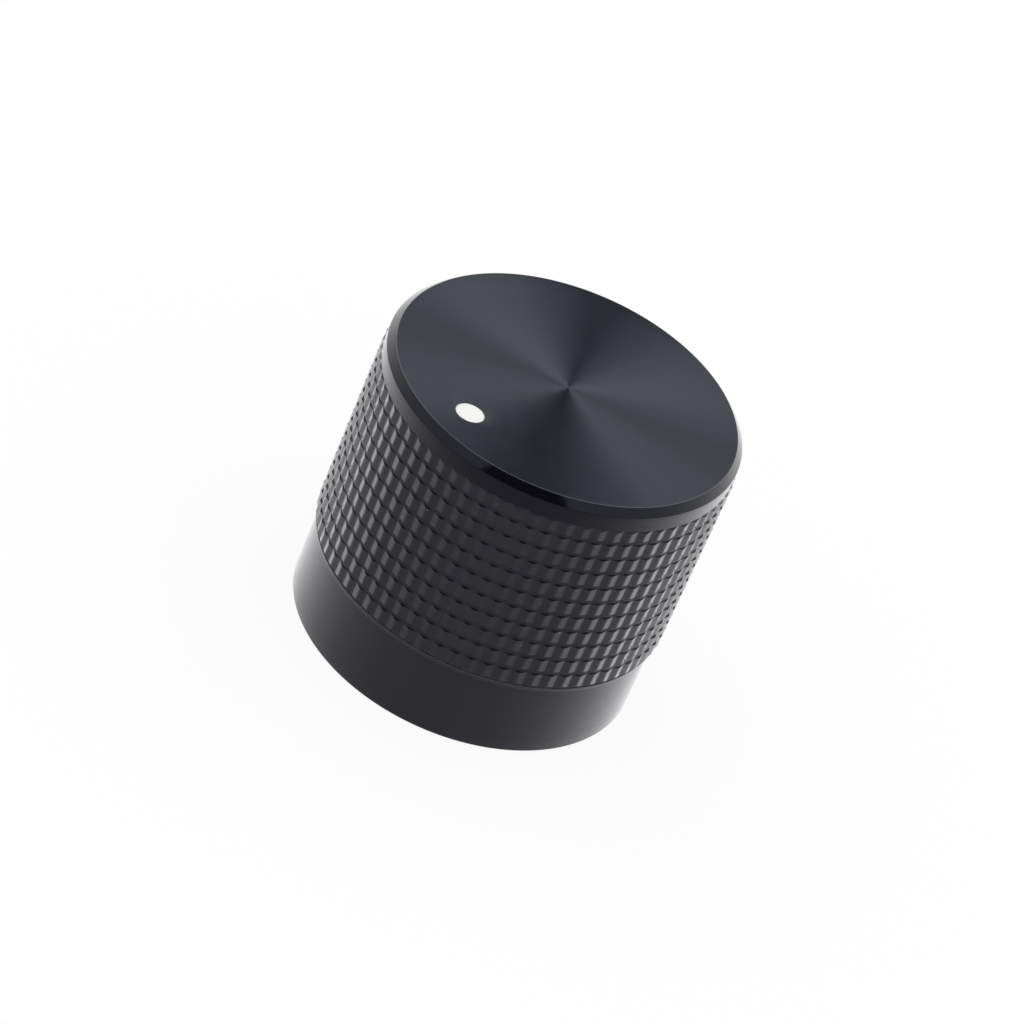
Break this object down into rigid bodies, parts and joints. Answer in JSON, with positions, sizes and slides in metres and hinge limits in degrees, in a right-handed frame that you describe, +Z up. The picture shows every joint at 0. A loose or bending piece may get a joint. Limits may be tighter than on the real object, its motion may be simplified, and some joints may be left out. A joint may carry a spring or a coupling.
{
  "type": "round control knob",
  "caption": "Round black aluminium control knob with a square-grid knurled grip, a spun face with a white pointer dot, and a set screw in the plain collar.",
  "frame": {"origin": "centre of the underside, on the axis of the shaft bore", "axes": "+Z up the shaft's axis to the face; -Y towards the pointer dot, +Y towards the set screw"},
  "size_m": [0.025, 0.025, 0.0214],
  "materials": {
    "black_anodised": "black anodised, satin",
    "white_paint": "matt white filling",
    "black_oxide_steel": "black oxide"
  },
  "bodies": {
    "root": {"body": "black_anodised", "pointer_dot": "white_paint", "set_screw": "black_oxide_steel"}
  },
  "joints": []
}
